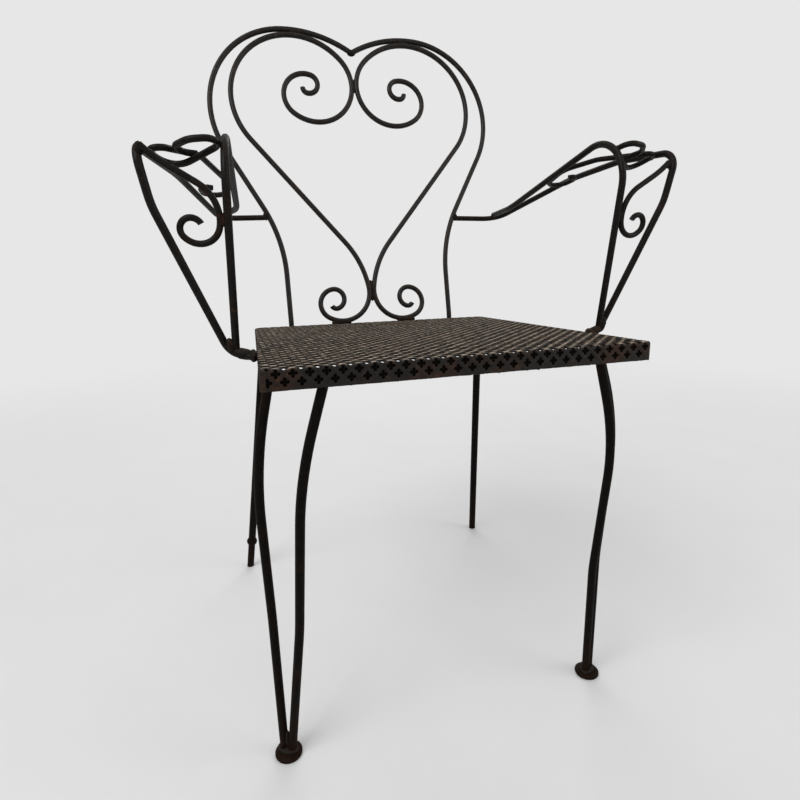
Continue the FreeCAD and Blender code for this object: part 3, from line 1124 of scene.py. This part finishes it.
def plain_bead(welds):
    """One bead, a metre long, with its ripples; the beads of all welds start as copies of it."""
    bpy.ops.object.select_all(action="DESELECT")
    bpy.ops.mesh.primitive_uv_sphere_add(
        segments=BEAD_SEGMENTS,
        ring_count=BEAD_RINGS,
        radius=0.5,
        rotation=(0.0, math.pi / 2.0, 0.0),
    )
    bead = bpy.context.object
    bpy.ops.object.transform_apply(location=False, rotation=True, scale=False)
    in_edit(bead)
    lengthwise = np.clip(2.0 * corners_of(bead)[:, 0], -1.0, 1.0)
    ring = np.round(np.arccos(lengthwise) / math.pi * BEAD_RINGS)
    select_where(bead, ring % 2 == 1)
    bpy.ops.transform.resize(value=(1.0, 1.0 + welds.ripple, 1.0 + welds.ripple))
    bpy.ops.object.mode_set(mode="OBJECT")
    return bead


def lay_bead(first, welds, weld, side, seed):
    """One weld: a copy of the plain bead, made lumpy, rounded, sized and laid in its place."""
    (x, y, z), (along_x, along_y, along_z), size = weld
    bead = first.copy()
    bead.data = first.data.copy()
    bpy.context.scene.collection.objects.link(bead)
    in_edit(bead)
    select_all()
    bpy.ops.transform.vertex_random(offset=welds.lumps, seed=seed)
    bpy.ops.object.mode_set(mode="OBJECT")
    apply_modifier(bead, "SUBSURF", levels=1, render_levels=1)
    bead.scale = size
    way = Vector((side * along_x, along_y, along_z))
    bead.rotation_euler = way.to_track_quat("X", "Z").to_euler()
    bead.location = (side * x, y, z)
    bpy.ops.object.transform_apply(location=True, rotation=True, scale=True)
    return bead


class CHAIR_OT_welds(bpy.types.Operator):
    """Weld beads where the rods touch each other, the seat and the feet"""

    bl_idname = "chair.welds"
    bl_label = "Lay the weld beads"

    def execute(self, context):
        welds = context.scene.weld_beads
        finish = context.scene.chair_finish
        first = plain_bead(welds)
        middle = [(weld, 1.0) for weld in BACK_MIDDLE_WELDS]
        beside = [(weld, side) for side in SIDES.values() for weld in BACK_SIDE_WELDS]
        groups = {
            "welds_back": middle + beside,
            "welds_arms": [(weld, SIDES[name]) for name in SIDES for weld in ARM_WELDS[name]],
            "welds_legs": [(weld, side) for side in SIDES.values() for weld in LEG_WELDS],
        }
        material = iron("weld_bead", finish, **COATS["weld_bead"])
        seed = 0
        for name, rows in groups.items():
            beads = []
            for weld, side in rows:
                seed += 1
                beads.append(lay_bead(first, welds, weld, side, seed))
            piece = join(beads, name)
            bpy.ops.object.shade_smooth()
            carry(piece, material)
        bpy.data.objects.remove(first)
        return {"FINISHED"}


def hang_lamp(name, place, target, size, power):
    """Soft lamp at a place, facing a point."""
    light = bpy.data.lights.new(name, "AREA")
    light.shape = "RECTANGLE"
    light.size, light.size_y = size
    light.energy = power
    obj = bpy.data.objects.new(name, light)
    bpy.context.scene.collection.objects.link(obj)
    obj.location = place
    obj.rotation_euler = (Vector(target) - Vector(place)).to_track_quat("-Z", "Y").to_euler()


def seen_directly(t):
    """1 where the camera, a gloss or a clear part sees the surface, 0 where it only gives light."""
    path = t.put("ShaderNodeLightPath").outputs
    gloss = t.maths("MAXIMUM", path["Is Glossy Ray"], path["Is Transmission Ray"])
    return t.maths("MAXIMUM", path["Is Camera Ray"], gloss)


def pale_floor(stage):
    """Pale floor that keeps the shadow near the chair and further off fades into the ground."""
    material, tree, shader = material_nodes("pale_floor")
    t = Tree(tree)
    place = t.put("ShaderNodeTexCoord").outputs["Object"]
    mottle = t.noise(place, 0.25, 6.0, 0.6)
    tone = tuple(stage.floor_colour)
    colour = t.blend(t.steep(mottle, 0.3, 0.7), toned(tone, 0.97), tone)
    tree.links.new(colour, shader.inputs["Base Color"])
    shader.inputs["Roughness"].default_value = 0.9
    shader.inputs["Specular IOR Level"].default_value = 0.1
    away = t.put("ShaderNodeVectorMath", {0: place}, operation="LENGTH").outputs["Value"]
    far = t.put(
        "ShaderNodeMapRange",
        {"Value": away, "From Min": stage.floor_near, "From Max": stage.floor_far},
        interpolation_type="SMOOTHSTEP",
    ).outputs["Result"]
    plain = {"Color": (*stage.background_colour, 1.0), "Strength": 1.0}
    ground = t.put("ShaderNodeEmission", plain)
    share = t.times(far, seen_directly(t))
    mixed = t.put("ShaderNodeMixShader", {0: share, 1: shader.outputs[0], 2: ground.outputs[0]})
    tree.links.new(mixed.outputs[0], tree.nodes["Material Output"].inputs["Surface"])
    return material


def studio(stage):
    """Even soft light all round, with the plain ground behind the chair."""
    world = bpy.data.worlds.new("studio")
    world.use_nodes = True
    world.node_tree.nodes.clear()
    t = Tree(world.node_tree)
    sky = {"Color": (0.95, 0.97, 1.0, 1.0), "Strength": stage.sky_strength}
    light = t.put("ShaderNodeBackground", sky)
    plain = {"Color": (*stage.background_colour, 1.0), "Strength": 1.0}
    ground = t.put("ShaderNodeBackground", plain)
    shaders = {0: seen_directly(t), 1: light.outputs[0], 2: ground.outputs[0]}
    mixed = t.put("ShaderNodeMixShader", shaders)
    t.put("ShaderNodeOutputWorld", {"Surface": mixed.outputs[0]})
    return world


def stand_camera(stage):
    """Camera at the place and angle from which the chair was seen."""
    camera = bpy.data.cameras.new("photo_camera")
    camera.sensor_width = PICTURE_WIDTH
    camera.lens = stage.lens
    camera.clip_start = 0.02
    obj = bpy.data.objects.new("photo_camera", camera)
    bpy.context.scene.collection.objects.link(obj)
    yaw, pitch, roll = stage.camera_yaw, stage.camera_pitch, stage.camera_roll
    ahead = Vector(
        (math.sin(yaw) * math.cos(pitch), math.cos(yaw) * math.cos(pitch), -math.sin(pitch))
    )
    level = Vector((math.cos(yaw), -math.sin(yaw), 0.0))
    above = level.cross(ahead)
    right = level * math.cos(roll) + above * math.sin(roll)
    up = above * math.cos(roll) - level * math.sin(roll)
    stand = Matrix((right, up, -ahead)).transposed().to_4x4()
    obj.matrix_world = Matrix.Translation(Vector(stage.camera_place)) @ stand
    return obj


class CHAIR_OT_stage(bpy.types.Operator):
    """Floor, soft light and camera"""

    bl_idname = "chair.stage"
    bl_label = "Set the stage"

    def execute(self, context):
        stage = context.scene.chair_stage
        scene = context.scene
        bpy.ops.object.select_all(action="DESELECT")
        bpy.ops.mesh.primitive_plane_add(size=FLOOR_SIZE, location=(0.0, 0.0, 0.0))
        floor = context.object
        floor.name = "floor"
        floor.data.materials.append(pale_floor(stage))
        scene.world = studio(stage)

        for name, place, target, size, share in LAMPS:
            hang_lamp(name, place, target, size, stage.key_power * share)
        scene.camera = stand_camera(stage)
        scene.view_settings.view_transform = "Standard"
        return {"FINISHED"}


class CHAIR_PT_panel(bpy.types.Panel):
    """The chair's operators and settings"""

    bl_label = "Garden armchair"
    bl_idname = "CHAIR_PT_panel"
    bl_space_type = "VIEW_3D"
    bl_region_type = "UI"
    bl_category = "Garden armchair"

    def draw(self, context):
        layout = self.layout
        for operator in OPERATORS:
            layout.operator(operator.bl_idname)
        for group in ("chair_finish", "seat_sheet", "weld_beads", "chair_stage"):
            box = layout.box()
            settings = getattr(context.scene, group)
            for name in settings.bl_rna.properties.keys():
                if name not in ("rna_type", "name"):
                    box.prop(settings, name)


OPERATORS = [
    CHAIR_OT_finish_rods,
    CHAIR_OT_seat_sheet,
    CHAIR_OT_seat_bar,
    CHAIR_OT_welds,
    CHAIR_OT_stage,
]
CLASSES = [ChairFinish, SeatSheet, WeldBeads, ChairStage, *OPERATORS, CHAIR_PT_panel]


def register():
    for item in CLASSES:
        bpy.utils.register_class(item)
    bpy.types.Scene.chair_finish = bpy.props.PointerProperty(type=ChairFinish)
    bpy.types.Scene.seat_sheet = bpy.props.PointerProperty(type=SeatSheet)
    bpy.types.Scene.weld_beads = bpy.props.PointerProperty(type=WeldBeads)
    bpy.types.Scene.chair_stage = bpy.props.PointerProperty(type=ChairStage)


def unregister():
    del bpy.types.Scene.chair_stage
    del bpy.types.Scene.weld_beads
    del bpy.types.Scene.seat_sheet
    del bpy.types.Scene.chair_finish
    for item in reversed(CLASSES):
        bpy.utils.unregister_class(item)


def main():
    """Builds the chair around the CAD model."""
    register()
    bpy.ops.chair.stage()
    bpy.ops.chair.finish_rods()
    bpy.ops.chair.seat_sheet()
    bpy.ops.chair.seat_bar()
    bpy.ops.chair.welds()


if __name__ == "__main__":
    main()
